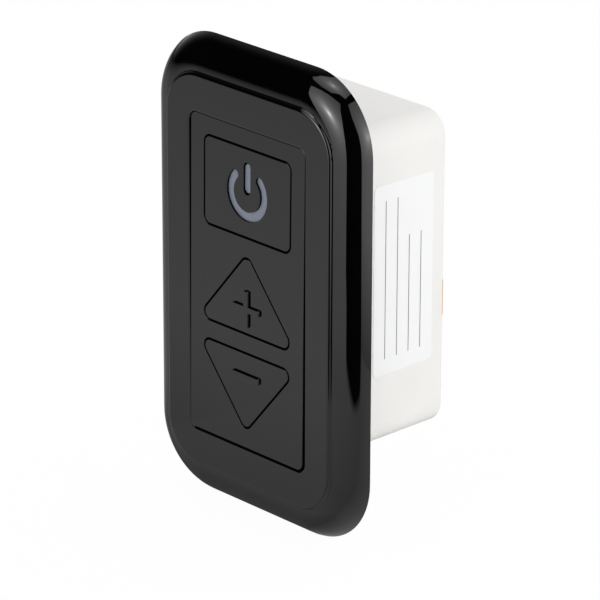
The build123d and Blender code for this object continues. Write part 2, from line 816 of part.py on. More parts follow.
# Terminal block: moulded poles side by side on the power board, each with a wire entry at the rear
pole_back = housing_depth + pole_proud
pole_top = pole_z + pole_height / 2
clamp_y = pole_back - clamp_screw_inset
for pole in range(pole_count):
    pole_x = (pole - (pole_count - 1) / 2) * pole_pitch
    with BuildPart() as terminal_pole:
        with BuildSketch(level(-power_board_back)):
            with Locations((pole_x, pole_z)):
                Rectangle(pole_pitch, pole_height)
        extrude(amount=power_board_back - pole_back)
        rear_edges = terminal_pole.faces().sort_by(Axis.Y)[-1].edges()
        chamfer(rear_edges.filter_by(Axis.X), pole_chamfer)
        with BuildSketch(level(-pole_back)):
            with Locations((pole_x, pole_z)):
                Circle(wire_radius)
        extrude(amount=wire_depth, mode=Mode.SUBTRACT)
        with BuildSketch(Plane.XY.offset(pole_top)):
            with Locations((pole_x, clamp_y)):
                Circle(clamp_screw_radius + clamp_screw_gap)
        extrude(amount=-clamp_screw_recess - clamp_screw_length, mode=Mode.SUBTRACT)
    terminal_pole.part.label = f"terminal_pole_{pole + 1}"
    export_step(terminal_pole.part, f"parts/terminal_pole_{pole + 1}.step")

# Clamp screws of the poles, with a slot across each head
with BuildPart() as terminal_screws:
    with BuildSketch(Plane.XY.offset(pole_top - clamp_screw_recess)):
        with Locations((0, clamp_y)):
            with GridLocations(pole_pitch, 0, pole_count, 1):
                Circle(clamp_screw_radius)
    extrude(amount=-clamp_screw_length)
    with BuildSketch(Plane.XY.offset(pole_top - clamp_screw_recess)):
        with Locations((0, clamp_y)):
            with GridLocations(pole_pitch, 0, pole_count, 1):
                Rectangle(2 * clamp_screw_radius, clamp_screw_recess)
    extrude(amount=-clamp_screw_recess, mode=Mode.SUBTRACT)
terminal_screws.part.label = "terminal_screws"
export_step(terminal_screws.part, "parts/terminal_screws.step")
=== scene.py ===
import bpy
from math import cos, pi, radians, sin
from mathutils import Matrix, Vector


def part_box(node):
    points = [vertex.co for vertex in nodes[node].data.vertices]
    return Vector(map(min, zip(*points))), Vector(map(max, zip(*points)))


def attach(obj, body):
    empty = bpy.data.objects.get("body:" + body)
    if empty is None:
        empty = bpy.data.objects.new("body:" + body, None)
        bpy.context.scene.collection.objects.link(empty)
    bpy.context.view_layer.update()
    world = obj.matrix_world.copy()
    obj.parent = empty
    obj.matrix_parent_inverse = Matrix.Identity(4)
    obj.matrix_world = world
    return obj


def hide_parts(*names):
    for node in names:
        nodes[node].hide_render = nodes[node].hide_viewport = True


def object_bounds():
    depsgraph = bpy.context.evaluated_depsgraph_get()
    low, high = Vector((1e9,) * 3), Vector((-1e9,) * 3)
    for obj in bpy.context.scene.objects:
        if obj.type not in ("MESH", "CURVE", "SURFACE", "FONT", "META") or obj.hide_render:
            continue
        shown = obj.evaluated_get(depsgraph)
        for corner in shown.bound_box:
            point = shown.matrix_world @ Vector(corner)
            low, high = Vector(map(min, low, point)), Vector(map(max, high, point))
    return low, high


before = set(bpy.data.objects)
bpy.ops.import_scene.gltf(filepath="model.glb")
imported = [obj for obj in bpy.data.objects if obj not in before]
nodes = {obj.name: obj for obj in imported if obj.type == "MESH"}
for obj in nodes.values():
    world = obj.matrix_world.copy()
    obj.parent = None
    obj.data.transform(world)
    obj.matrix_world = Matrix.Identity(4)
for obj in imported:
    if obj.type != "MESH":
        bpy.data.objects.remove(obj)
cad_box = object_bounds()


# Rear housing: the box that goes into the wall box, open to the front and closed by the yoke.
# Injection moulded in a slightly warm white plastic with a fine spark-eroded grain.
# Four ejector pins have left shallow round marks on its back.
def chain(tree, operation, *values):
    """Adds a math node and returns its value; a number is set on its socket, and a socket is linked."""
    node = tree.nodes.new("ShaderNodeMath")
    node.operation = operation
    for socket, value in zip(node.inputs, values):
        if isinstance(value, (int, float)):
            socket.default_value = value
        else:
            tree.links.new(value, socket)
    return node.outputs["Value"]


def vector_chain(tree, operation, value, other=(0.0, 0.0, 0.0)):
    """Adds a vector math node for a value and a fixed vector, and returns its result."""
    node = tree.nodes.new("ShaderNodeVectorMath")
    node.operation = operation
    node.inputs[1].default_value = other
    tree.links.new(value, node.inputs[0])
    gives_number = operation in ("DISTANCE", "DOT_PRODUCT")
    return node.outputs["Value" if gives_number else "Vector"]


def components(tree, vector):
    """Splits a vector into its X, Y and Z."""
    node = tree.nodes.new("ShaderNodeSeparateXYZ")
    tree.links.new(vector, node.inputs["Vector"])
    return node.outputs


def ramp(tree, value, start, end, low, high):
    """Maps a value between two limits to a range, clamped."""
    node = tree.nodes.new("ShaderNodeMapRange")
    node.inputs["From Min"].default_value = start
    node.inputs["From Max"].default_value = end
    node.inputs["To Min"].default_value = low
    node.inputs["To Max"].default_value = high
    tree.links.new(value, node.inputs["Value"])
    return node.outputs["Result"]


def noise(tree, vector, scale, detail):
    """Soft random pattern of this scale."""
    node = tree.nodes.new("ShaderNodeTexNoise")
    node.inputs["Scale"].default_value = scale
    node.inputs["Detail"].default_value = detail
    tree.links.new(vector, node.inputs["Vector"])
    return node.outputs["Fac"]


def two_tones(tree, value, start, end, shade, colour):
    """Blends two close colours between two limits of a value."""
    node = tree.nodes.new("ShaderNodeValToRGB")
    darker, lighter = node.color_ramp.elements
    darker.position = start
    darker.color = (*shade, 1.0)
    lighter.position = end
    lighter.color = (*colour, 1.0)
    tree.links.new(value, node.inputs["Fac"])
    return node.outputs["Color"]


def raised(tree, height, depth):
    """Raises the surface by a pattern."""
    node = tree.nodes.new("ShaderNodeBump")
    node.name = "relief"
    node.inputs["Distance"].default_value = depth
    tree.links.new(height, node.inputs["Height"])
    tree.links.new(node.outputs["Normal"], tree.nodes["Principled BSDF"].inputs["Normal"])


def plastic(name, colour, shade, patch_scale, roughness, grain_size, grain_depth):
    """Moulded plastic: two close tones in soft patches, uneven gloss and a fine grain."""
    material = bpy.data.materials.new(name)
    material.use_nodes = True
    tree = material.node_tree
    shader = tree.nodes["Principled BSDF"]
    place = tree.nodes.new("ShaderNodeTexCoord")
    place.name = "place"
    patches = noise(tree, place.outputs["Object"], scale=patch_scale, detail=4.0)
    tones = two_tones(tree, patches, start=0.35, end=0.65, shade=shade, colour=colour)
    tones.node.name = "tones"
    tree.links.new(tones, shader.inputs["Base Color"])
    gloss = ramp(tree, patches, start=0.3, end=0.7, low=roughness[0], high=roughness[1])
    gloss.node.name = "gloss"
    tree.links.new(gloss, shader.inputs["Roughness"])
    grain = noise(tree, place.outputs["Object"], scale=1.0 / grain_size, detail=2.0)
    grain.node.name = "grain"
    raised(tree, grain, grain_depth)
    return material


def dress(material, *names):
    """Gives carried-over solids their finish."""
    for name in names:
        nodes[name].material_slots[0].material = material


housing_white = plastic(
    "housing_white",
    colour=(0.83, 0.822, 0.804),
    shade=(0.812, 0.804, 0.786),
    patch_scale=45.0,
    roughness=(0.40, 0.50),
    grain_size=0.00035,
    grain_depth=0.000004,
)
housing_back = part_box("rear_housing")[1][1]
pin_mark = (0.013, housing_back, 0.0295)
pin_radius = 0.0024
pin_edge = 0.0002
pin_sink = 20.0
housing_tree = housing_white.node_tree
quarter = vector_chain(housing_tree, "ABSOLUTE", housing_tree.nodes["place"].outputs["Object"])
from_pin = vector_chain(housing_tree, "DISTANCE", quarter, pin_mark)
sunk = ramp(housing_tree, from_pin, pin_radius - pin_edge, pin_radius + pin_edge, -pin_sink, 0.0)
sunk.node.interpolation_type = "SMOOTHSTEP"
marked_grain = chain(housing_tree, "ADD", housing_tree.nodes["grain"].outputs["Fac"], sunk)
housing_tree.links.new(marked_grain, housing_tree.nodes["relief"].inputs["Height"])
dress(housing_white, "rear_housing")

# Rating label: sticker pressed onto the housing's right side.
# Die-cut from white vinyl with rounded corners and a fine bevelled edge.
# Printed only with four ruled lines.
label_low, label_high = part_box("rating_label")
label_middle = (Vector(label_low) + Vector(label_high)) / 2
label_size = Vector(label_high) - Vector(label_low)
label_corner = 0.0012
label_bevel_depth = 0.00003
label_bevel_width = 0.00004
bpy.ops.object.select_all(action="DESELECT")
bpy.ops.mesh.primitive_plane_add(
    size=1.0, rotation=(0.0, pi / 2, 0.0), location=(label_low[0], label_middle.y, label_middle.z)
)
label = bpy.context.object
label.name = "label_sticker"
label.scale = (label_size.z, label_size.y, 1.0)
bpy.ops.object.transform_apply(location=True, rotation=True, scale=True)
bpy.ops.object.mode_set(mode="EDIT")
bpy.ops.mesh.select_all(action="SELECT")
bpy.ops.mesh.bevel(offset=label_corner, segments=8, affect="VERTICES")
bpy.ops.mesh.select_all(action="SELECT")
bpy.ops.mesh.extrude_region_move(
    TRANSFORM_OT_translate={"value": (label_size.x - label_bevel_depth, 0.0, 0.0)}
)
bpy.ops.mesh.inset(thickness=label_bevel_width, depth=label_bevel_depth)
bpy.ops.mesh.select_all(action="SELECT")
bpy.ops.mesh.normals_make_consistent(inside=False)
bpy.ops.object.mode_set(mode="OBJECT")
bpy.ops.object.shade_smooth_by_angle(angle=radians(30))


def printed(tree, centre, half, previous):
    """Adds a printed bar in the label's plane to the mask of what is printed so far."""
    offset = vector_chain(tree, "SUBTRACT", tree.nodes["place"].outputs["Object"], (0.0, *centre))
    sides = components(tree, vector_chain(tree, "ABSOLUTE", offset))
    within_width = chain(tree, "LESS_THAN", sides["Y"], half[0])
    within_length = chain(tree, "LESS_THAN", sides["Z"], half[1])
    return chain(tree, "MAXIMUM", previous, chain(tree, "MULTIPLY", within_width, within_length))


def covered(tree, mask, below, colour):
    """Lays a colour over the one below it where the mask is set."""
    node = tree.nodes.new("ShaderNodeMix")
    node.data_type = "RGBA"
    node.inputs["B"].default_value = (*colour, 1.0)
    tree.links.new(mask, node.inputs["Factor"])
    tree.links.new(below, node.inputs["A"])
    tree.links.new(node.outputs["Result"], tree.nodes["Principled BSDF"].inputs["Base Color"])


label_white = plastic(
    "label_white",
    colour=(0.875, 0.876, 0.878),
    shade=(0.870, 0.871, 0.873),
    patch_scale=400.0,
    roughness=(0.34, 0.38),
    grain_size=0.0008,
    grain_depth=0.000001,
)
label_tree = label_white.node_tree
ink_colour = (0.06, 0.06, 0.065)
ink = 0.0
line_half_width = 0.00011
line_start = -0.0195
for line_y, line_end in ((-0.0058, 0.0195), (-0.0020, 0.0195), (0.0018, 0.0095), (0.0056, 0.0095)):
    line_centre = (label_middle.y + line_y, label_middle.z + (line_start + line_end) / 2)
    ink = printed(label_tree, line_centre, (line_half_width, (line_end - line_start) / 2), ink)
covered(label_tree, ink, label_tree.nodes["tones"].outputs["Color"], ink_colour)
label.data.materials.append(label_white)
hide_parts("rating_label")
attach(label, "base")


# Power board: glass-fibre board on four bosses at the back of the housing.
# Green solder mask over straight copper tracks, with tinned pads.
def circuit_board(name, track_pitch, track_height, pad_scale, pad_size):
    """Solder mask with raised tracks in bands and small tinned pads."""
    wave_length = 0.314
    bare_mask = (0.012, 0.085, 0.028)
    track_mask = (0.022, 0.140, 0.045)
    tin = (0.62, 0.62, 0.60)
    material = bpy.data.materials.new(name)
    material.use_nodes = True
    tree = material.node_tree
    shader = tree.nodes["Principled BSDF"]
    shader.inputs["Roughness"].default_value = 0.32
    place = tree.nodes.new("ShaderNodeTexCoord")
    tracks = tree.nodes.new("ShaderNodeTexWave")
    tracks.bands_direction = "X"
    tracks.inputs["Scale"].default_value = wave_length / track_pitch
    tracks.inputs["Distortion"].default_value = 1.2
    tracks.inputs["Detail Scale"].default_value = 0.4
    tree.links.new(place.outputs["Object"], tracks.inputs["Vector"])
    mask = two_tones(tree, tracks.outputs["Fac"], start=0.0, end=0.62, shade=bare_mask, colour=track_mask)
    mask.node.color_ramp.interpolation = "CONSTANT"
    pads = tree.nodes.new("ShaderNodeTexVoronoi")
    pads.inputs["Scale"].default_value = pad_scale
    pads.inputs["Randomness"].default_value = 0.35
    tree.links.new(place.outputs["Object"], pads.inputs["Vector"])
    tinned = chain(tree, "LESS_THAN", pads.outputs["Distance"], pad_size)
    covered(tree, tinned, mask, tin)
    tree.links.new(tinned, shader.inputs["Metallic"])
    raised(tree, tracks.outputs["Fac"], track_height)
    return material


board_green = circuit_board(
    "board_green", track_pitch=0.0016, track_height=0.00004, pad_scale=320.0, pad_size=0.16
)
dress(board_green, "power_board", "control_board")


# Parts of the power board: triac on its heat sink, capacitors, transformer, optocoupler and fuse.
# Moulded, rolled and stamped parts, soldered to the board's tracks.
def metal(name, colour, shade, roughness, stretch, brush_depth):
    """Bare metal with fine drawn or brushed lines, stretched along one direction."""
    material = bpy.data.materials.new(name)
    material.use_nodes = True
    tree = material.node_tree
    shader = tree.nodes["Principled BSDF"]
    shader.inputs["Metallic"].default_value = 1.0
    place = tree.nodes.new("ShaderNodeTexCoord")
    drawn = tree.nodes.new("ShaderNodeMapping")
    drawn.inputs["Scale"].default_value = stretch
    tree.links.new(place.outputs["Object"], drawn.inputs["Vector"])
    lines = noise(tree, drawn.outputs["Vector"], scale=1.0, detail=5.0)
    tones = two_tones(tree, lines, start=0.3, end=0.7, shade=shade, colour=colour)
    tree.links.new(tones, shader.inputs["Base Color"])
    gloss = ramp(tree, lines, start=0.3, end=0.7, low=roughness[0], high=roughness[1])
    tree.links.new(gloss, shader.inputs["Roughness"])
    raised(tree, lines, brush_depth)
    return material


def banded(material, axis, limit, colour, plated):
    """Gives a material a second colour, plated or not, beyond a limit along one axis."""
    tree = material.node_tree
    sides = components(tree, tree.nodes["place"].outputs["Object"])
    beyond = chain(tree, "GREATER_THAN", chain(tree, "ABSOLUTE", sides[axis]), limit)
    covered(tree, beyond, tree.nodes["tones"].outputs["Color"], colour)
    if plated:
        tree.links.new(beyond, tree.nodes["Principled BSDF"].inputs["Metallic"])


chip_black = plastic(
    "chip_black",
    colour=(0.022, 0.022, 0.024),
    shade=(0.016, 0.016, 0.018),
    patch_scale=300.0,
    roughness=(0.45, 0.6),
    grain_size=0.00015,
    grain_depth=0.000004,
)
dress(chip_black, "triac", "optocoupler")
sink_aluminium = metal(
    "sink_aluminium",
    colour=(0.80, 0.81, 0.82),
    shade=(0.66, 0.67, 0.68),
    roughness=(0.28, 0.42),
    stretch=(900, 60, 60),
    brush_depth=0.000004,
)
dress(sink_aluminium, "heat_sink")
capacitor_yellow = plastic(
    "capacitor_yellow",
    colour=(0.62, 0.40, 0.03),
    shade=(0.57, 0.36, 0.025),
    patch_scale=160.0,
    roughness=(0.3, 0.42),
    grain_size=0.0004,
    grain_depth=0.000003,
)
dress(capacitor_yellow, "film_capacitor")
can_aluminium = metal(
    "can_aluminium",
    colour=(0.72, 0.73, 0.75),
    shade=(0.60, 0.61, 0.63),
    roughness=(0.18, 0.3),
    stretch=(80, 700, 80),
    brush_depth=0.000002,
)
dress(can_aluminium, "reservoir_capacitor")
core_grey = plastic(
    "core_grey",
    colour=(0.16, 0.155, 0.15),
    shade=(0.12, 0.117, 0.113),
    patch_scale=220.0,
    roughness=(0.4, 0.55),
    grain_size=0.0005,
    grain_depth=0.000006,
)
core_tree = core_grey.node_tree
core_sheets = core_tree.nodes.new("ShaderNodeTexWave")
core_sheets.bands_direction = "Z"
core_sheets.inputs["Scale"].default_value = 650.0
core_tree.links.new(core_tree.nodes["place"].outputs["Object"], core_sheets.inputs["Vector"])
core_tree.links.new(core_sheets.outputs["Fac"], core_tree.nodes["relief"].inputs["Height"])
dress(core_grey, "supply_transformer")
fuse_ceramic = plastic(
    "fuse_ceramic",
    colour=(0.74, 0.72, 0.66),
    shade=(0.70, 0.68, 0.62),
    patch_scale=120.0,
    roughness=(0.2, 0.3),
    grain_size=0.0006,
    grain_depth=0.000002,
)
banded(fuse_ceramic, axis="X", limit=0.003, colour=(0.78, 0.77, 0.74), plated=True)
dress(fuse_ceramic, "fuse")

# Choke: a ring core with a winding, lying on the power board.
# Wound with enamelled copper wire, laid turn beside turn all round the ring.
choke_low, choke_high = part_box("choke_coil")
choke_middle = (Vector(choke_low) + Vector(choke_high)) / 2
choke_turns = 44.0
winding_copper = plastic(
    "winding_copper",
    colour=(0.58, 0.235, 0.085),
    shade=(0.50, 0.19, 0.065),
    patch_scale=400.0,
    roughness=(0.2, 0.3),
    grain_size=0.0003,
    grain_depth=0.00012,
)
winding_tree = winding_copper.node_tree
winding_tree.nodes["Principled BSDF"].inputs["Metallic"].default_value = 0.85
from_middle = vector_chain(
    winding_tree, "SUBTRACT", winding_tree.nodes["place"].outputs["Object"], choke_middle
)
ring_sides = components(winding_tree, from_middle)
ring_bearing = chain(winding_tree, "ARCTAN2", ring_sides["X"], ring_sides["Z"])
wires = chain(winding_tree, "SINE", chain(winding_tree, "MULTIPLY", ring_bearing, choke_turns))
winding_tree.links.new(wires, winding_tree.nodes["relief"].inputs["Height"])
dress(winding_copper, "choke_coil")

# Terminal block: three poles side by side on the power board, standing out of the housing's back.
# Moulded in orange nylon; each pole has a plated steel cage in its wire entry and a slotted clamp screw.
terminal_orange = plastic(
    "terminal_orange",
    colour=(0.66, 0.285, 0.032),
    shade=(0.60, 0.25, 0.027),
    patch_scale=140.0,
    roughness=(0.34, 0.46),
    grain_size=0.0004,
    grain_depth=0.000005,
)
poles = ("terminal_pole_1", "terminal_pole_2", "terminal_pole_3")
dress(terminal_orange, *poles)
screw_steel = metal(
    "screw_steel",
    colour=(0.72, 0.71, 0.69),
    shade=(0.58, 0.57, 0.55),
    roughness=(0.22, 0.36),
    stretch=(500, 500, 500),
    brush_depth=0.000003,
)
dress(screw_steel, "terminal_screws")
cage_radius = 0.00165
cage_length = 0.0055
cage_wall = 0.00025
cage_rim = 0.00006
cage_inset = 0.0012
bpy.ops.object.select_all(action="DESELECT")
bpy.ops.mesh.primitive_cylinder_add(
    vertices=40, radius=cage_radius, depth=cage_length, end_fill_type="NOTHING", rotation=(pi / 2, 0.0, 0.0)
)
first_cage = bpy.context.object
bpy.ops.object.transform_apply(location=True, rotation=True, scale=True)
bpy.ops.object.mode_set(mode="EDIT")
bpy.ops.mesh.select_all(action="SELECT")
bpy.ops.mesh.normals_make_consistent(inside=False)
bpy.ops.object.mode_set(mode="OBJECT")
wall = first_cage.modifiers.new("wall", "SOLIDIFY")
wall.thickness = cage_wall
wall.offset = -1.0
bpy.ops.object.modifier_apply(modifier="wall")
rim = first_cage.modifiers.new("rim", "BEVEL")
rim.width = cage_rim
rim.segments = 2
rim.limit_method = "ANGLE"
bpy.ops.object.modifier_apply(modifier="rim")
bpy.ops.object.shade_smooth_by_angle(angle=radians(35))
first_cage.data.materials.append(screw_steel)
cages = [first_cage]
while len(cages) < len(poles):
    bpy.ops.object.duplicate(linked=False)
    cages.append(bpy.context.object)
for cage, pole in zip(cages, poles):
    pole_low, pole_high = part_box(pole)
    pole_middle = (Vector(pole_low) + Vector(pole_high)) / 2
    cage.name = pole.replace("terminal_pole", "wire_cage")
    cage_centre = (pole_middle.x, pole_high[1] - cage_inset - cage_length / 2, pole_middle.z)
    cage.data.transform(Matrix.Translation(cage_centre))
    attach(cage, "base")

# Control board's parts: microcontroller, indicator light, link between the boards and tact switches.
# Moulded and stamped parts, soldered on; the switches' plungers move with the buttons above them.
dress(chip_black, "microcontroller")
led_clear = plastic(
    "led_clear",
    colour=(0.80, 0.82, 0.80),
    shade=(0.72, 0.74, 0.70),
    patch_scale=500.0,
    roughness=(0.15, 0.25),
    grain_size=0.0003,
    grain_depth=0.000002,
)
led_clear.node_tree.nodes["Principled BSDF"].inputs["Transmission Weight"].default_value = 0.35
dress(led_clear, "indicator_led")
switch_black = plastic(
    "switch_black",
    colour=(0.030, 0.030, 0.031),
    shade=(0.024, 0.024, 0.025),
    patch_scale=260.0,
    roughness=(0.4, 0.52),
    grain_size=0.0002,
    grain_depth=0.000004,
)
dress(switch_black, "power_switch", "up_switch", "down_switch", "link_socket")
pin_brass = plastic(
    "pin_brass",
    colour=(0.62, 0.46, 0.20),
    shade=(0.56, 0.41, 0.17),
    patch_scale=300.0,
    roughness=(0.2, 0.3),
    grain_size=0.0003,
    grain_depth=0.000002,
)
pin_brass.node_tree.nodes["Principled BSDF"].inputs["Metallic"].default_value = 0.6
header_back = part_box("link_header")[1][1]
header_base = 0.0025
banded(pin_brass, axis="Y", limit=header_back - header_base, colour=(0.02, 0.02, 0.021), plated=False)
dress(pin_brass, "link_header")
plunger_grey = plastic(
    "plunger_grey",
    colour=(0.34, 0.34, 0.33),
    shade=(0.30, 0.30, 0.29),
    patch_scale=260.0,
    roughness=(0.35, 0.45),
    grain_size=0.0003,
    grain_depth=0.000004,
)
dress(plunger_grey, "power_plunger", "up_plunger", "down_plunger")

# Mounting yoke: strap that closes the housing and takes the wall box screws.
# Stamped from aluminium sheet, brushed along its length, with countersunk zinc-plated screws.
yoke_aluminium = metal(
    "yoke_aluminium",
    colour=(0.83, 0.83, 0.83),
    shade=(0.70, 0.70, 0.71),
    roughness=(0.26, 0.40),
    stretch=(1400, 300, 18),
    brush_depth=0.000005,
)
dress(yoke_aluminium, "mounting_yoke")
dress(screw_steel, "housing_screws", "board_screws", "power_board_screws", "snap_plate_screws")

# Snap plate: frame under the cover, screwed to the yoke, that the cover's hooks clip behind.
# Moulded in black plastic with a dull grain, as are the control board's spacers.
snap_black = plastic(
    "snap_black",
    colour=(0.020, 0.020, 0.021),
    shade=(0.014, 0.014, 0.015),
    patch_scale=80.0,
    roughness=(0.42, 0.55),
    grain_size=0.0003,
    grain_depth=0.000006,
)
dress(snap_black, "snap_plate", "board_spacers")

# Keypad insert: plate in the cover's window that carries the three buttons.
# Moulded in the same black as the cover, in a polished tool whose side walls are left as machined.
keypad_tilt = radians(0.54)
keypad_outward = Vector((0.0, -cos(keypad_tilt), sin(keypad_tilt)))
keypad_face = 0.00626
keypad_polish = 0.00015
keypad_dull = 0.00028
insert_low, insert_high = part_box("keypad_insert")
insert_reach = (Vector(insert_high) - Vector(insert_low)) / 2
polished_edge = 0.0006


def dull_walls(material, outward, face, polished_depth, dull_depth, reach_x, reach_z):
    """Makes the walls behind a polished face dull, as far as these reaches from the middle."""
    dull_roughness = 0.6
    dull_specular = 0.05
    polished_specular = 0.5
    end_fade = 0.001
    tree = material.node_tree
    skin = tree.nodes["Principled BSDF"]
    place = tree.nodes["place"].outputs["Object"]
    height = vector_chain(tree, "DOT_PRODUCT", place, outward)
    sides = components(tree, place)
    depth = ramp(tree, height, face - dull_depth, face - polished_depth, 1.0, 0.0)
    across = chain(tree, "LESS_THAN", chain(tree, "ABSOLUTE", sides["X"]), reach_x)
    along = ramp(tree, chain(tree, "ABSOLUTE", sides["Z"]), reach_z - end_fade, reach_z, 1.0, 0.0)
    dull = chain(tree, "MULTIPLY", depth, chain(tree, "MULTIPLY", across, along))
    rough = chain(tree, "MULTIPLY", dull, dull_roughness)
    roughest = chain(tree, "MAXIMUM", tree.nodes["gloss"].outputs["Result"], rough)
    specular = chain(tree, "MULTIPLY_ADD", dull, dull_specular - polished_specular, polished_specular)
    tree.links.new(roughest, skin.inputs["Roughness"])
    tree.links.new(specular, skin.inputs["Specular IOR Level"])


def dull_keypad_walls(material):
    """Makes the walls of the insert's outside and of the buttons' gaps dull."""
    reach_x = insert_reach.x - polished_edge
    reach_z = insert_reach.z - polished_edge
    dull_walls(material, keypad_outward, keypad_face, keypad_polish, keypad_dull, reach_x, reach_z)


keypad_black = plastic(
    "keypad_black",
    colour=(0.0011, 0.0011, 0.0012),
    shade=(0.0007, 0.0007, 0.0008),
    patch_scale=35.0,
    roughness=(0.018, 0.030),
    grain_size=0.006,
    grain_depth=0.0000010,
)
dull_keypad_walls(keypad_black)
dress(keypad_black, "keypad_insert")

# Buttons: a flush rectangular one with the power symbol cut through, and two triangular ones.
# Moulded in gloss black; the plus and minus stand up from their caps.
button_black = plastic(
    "button_black",
    colour=(0.0011, 0.0011, 0.0012),
    shade=(0.0007, 0.0007, 0.0008),
    patch_scale=50.0,
    roughness=(0.020, 0.034),
    grain_size=0.005,
    grain_depth=0.0000008,
)
dull_keypad_walls(button_black)
dress(button_black, "power_button", "up_button", "down_button")

# Power symbol lens: light guide behind the power button, which fills the symbol a little below its face.
# Moulded in a milky clear plastic that looks blue-grey when it isn't lit.
symbol_lens = plastic(
    "symbol_lens",
    colour=(0.186, 0.210, 0.263),
    shade=(0.171, 0.194, 0.246),
    patch_scale=220.0,
    roughness=(0.28, 0.36),
    grain_size=0.0005,
    grain_depth=0.000004,
)
lens_shader = symbol_lens.node_tree.nodes["Principled BSDF"]
lens_shader.inputs["Subsurface Weight"].default_value = 0.15
lens_shader.inputs["Subsurface Radius"].default_value = (0.0006, 0.0007, 0.0009)
dress(symbol_lens, "power_symbol_lens")

# Front cover: one moulding with a rolled rim, a stepped panel and the keypad's window.
# Piano-black plastic from a polished tool, with the faint waviness that such a moulding has.
cover_face = 0.0063
cover_polish = 0.0001
cover_dull = 0.00018
window_margin = 0.0011
cover_black = plastic(
    "cover_black",
    colour=(0.0011, 0.0011, 0.0012),
    shade=(0.0007, 0.0007, 0.0008),
    patch_scale=30.0,
    roughness=(0.016, 0.028),
    grain_size=0.007,
    grain_depth=0.0000010,
)
dull_walls(
    cover_black,
    outward=Vector((0.0, -1.0, 0.0)),
    face=cover_face,
    polished_depth=cover_polish,
    dull_depth=cover_dull,
    reach_x=insert_reach.x + window_margin,
    reach_z=insert_reach.z - window_margin,
)
dress(cover_black, "front_cover")

# Studio floor: a plain pale sheet that the dimmer stands on.
# White to the camera with the soft shadow kept. In the gloss it is a painted reflection: a grey emission
# that dims with distance, with painted shade under the rim, on the left and at the gap between two
# reflection cards, and a painted glow on the right; bearings are in radians.
floor_height = cad_box[0][2]
floor_size = 8.0
paper_white = 0.95
white_share = 0.97
distance_fall = 2.0
# Limits and levels of the painted shade and painted glow in the floor's reflection.
left_bearings = (-1.25, -0.85)
left_levels = (0.82, 0.97)
left_foreground = (-0.12, -0.05)
rim_front = (0.0, 0.014)
rim_right = (0.012, 0.030)
rim_left = (-0.095, -0.022)
rim_level = 0.52
front_span = (0.0, 0.09)
front_levels = (0.02, 0.36)
glow_bearings = (1.10, 1.52)
glow_level = 0.42
glow_start = (0.016, 0.034)
gap_bearings = (1.078, 1.13)
gap_sides = ((radians(61), 0.1045), (radians(30), 0.0985))
gap_softness = 0.011


def shader_mix(tree, factor, first, second):
    """Mixes two shaders and returns the result."""
    node = tree.nodes.new("ShaderNodeMixShader")
    if isinstance(factor, float):
        node.inputs["Fac"].default_value = factor
    else:
        tree.links.new(factor, node.inputs["Fac"])
    tree.links.new(first, node.inputs[1])
    tree.links.new(second, node.inputs[2])
    return node.outputs["Shader"]


bpy.ops.object.select_all(action="DESELECT")
bpy.ops.mesh.primitive_plane_add(size=floor_size, location=(0.0, 0.0, floor_height))
floor = bpy.context.object
floor.name = "studio_floor"
bpy.ops.object.transform_apply(location=True, rotation=True, scale=True)
floor_paper = bpy.data.materials.new("floor_paper")
floor_paper.use_nodes = True
tree = floor_paper.node_tree
tree.nodes.clear()
place = tree.nodes.new("ShaderNodeTexCoord")
sides = components(tree, place.outputs["Object"])
floor_x = sides["X"]
floor_front = chain(tree, "MULTIPLY", sides["Y"], -1.0)
bearing = chain(tree, "ARCTAN2", floor_x, floor_front)
reach = chain(tree, "ADD", chain(tree, "POWER", floor_x, 2.0), chain(tree, "POWER", floor_front, 2.0))
distant = chain(tree, "DIVIDE", 1.0, chain(tree, "MULTIPLY_ADD", reach, distance_fall, 1.0))
# Painted shade on the left, where the dimmer's shadow would fall.
to_left = ramp(tree, bearing, *left_bearings, *left_levels)
painted_left_shade = chain(tree, "MAXIMUM", to_left, ramp(tree, floor_x, *left_foreground, 0.0, 1.0))
# Painted shade at the rim's foot, dark just in front of and beside where it stands.
past_right = ramp(tree, floor_x, *rim_right, 0.0, 1.0)
past_left = ramp(tree, floor_x, *rim_left, 1.0, 0.0)
past_sides = chain(tree, "MAXIMUM", past_right, past_left)
clear_of_rim = chain(tree, "MAXIMUM", ramp(tree, floor_front, *rim_front, 0.0, 1.0), past_sides)
painted_contact_shade = chain(
    tree, "MULTIPLY_ADD", clear_of_rim, rim_level, ramp(tree, floor_front, *front_span, *front_levels)
)
even_level = chain(tree, "MULTIPLY", painted_contact_shade, chain(tree, "MULTIPLY", painted_left_shade, distant))
# Painted glow on the right, where the right lamp would light the floor.
to_right = ramp(tree, bearing, *glow_bearings, 0.0, glow_level)
painted_right_glow = chain(tree, "MULTIPLY", to_right, ramp(tree, floor_x, *glow_start, 0.0, 1.0))
# Painted shade at the gap between the front and right reflection cards.
gap = ramp(tree, bearing, *gap_bearings, 1.0, 0.0)
for side_bearing, side_start in gap_sides:
    ahead = chain(tree, "MULTIPLY", floor_front, cos(side_bearing))
    toward = chain(tree, "MULTIPLY_ADD", floor_x, sin(side_bearing), ahead)
    edge = ramp(tree, toward, side_start, side_start + gap_softness, 0.0, 1.0)
    gap = chain(tree, "MULTIPLY", gap, edge)
kept = chain(tree, "SUBTRACT", 1.0, gap)
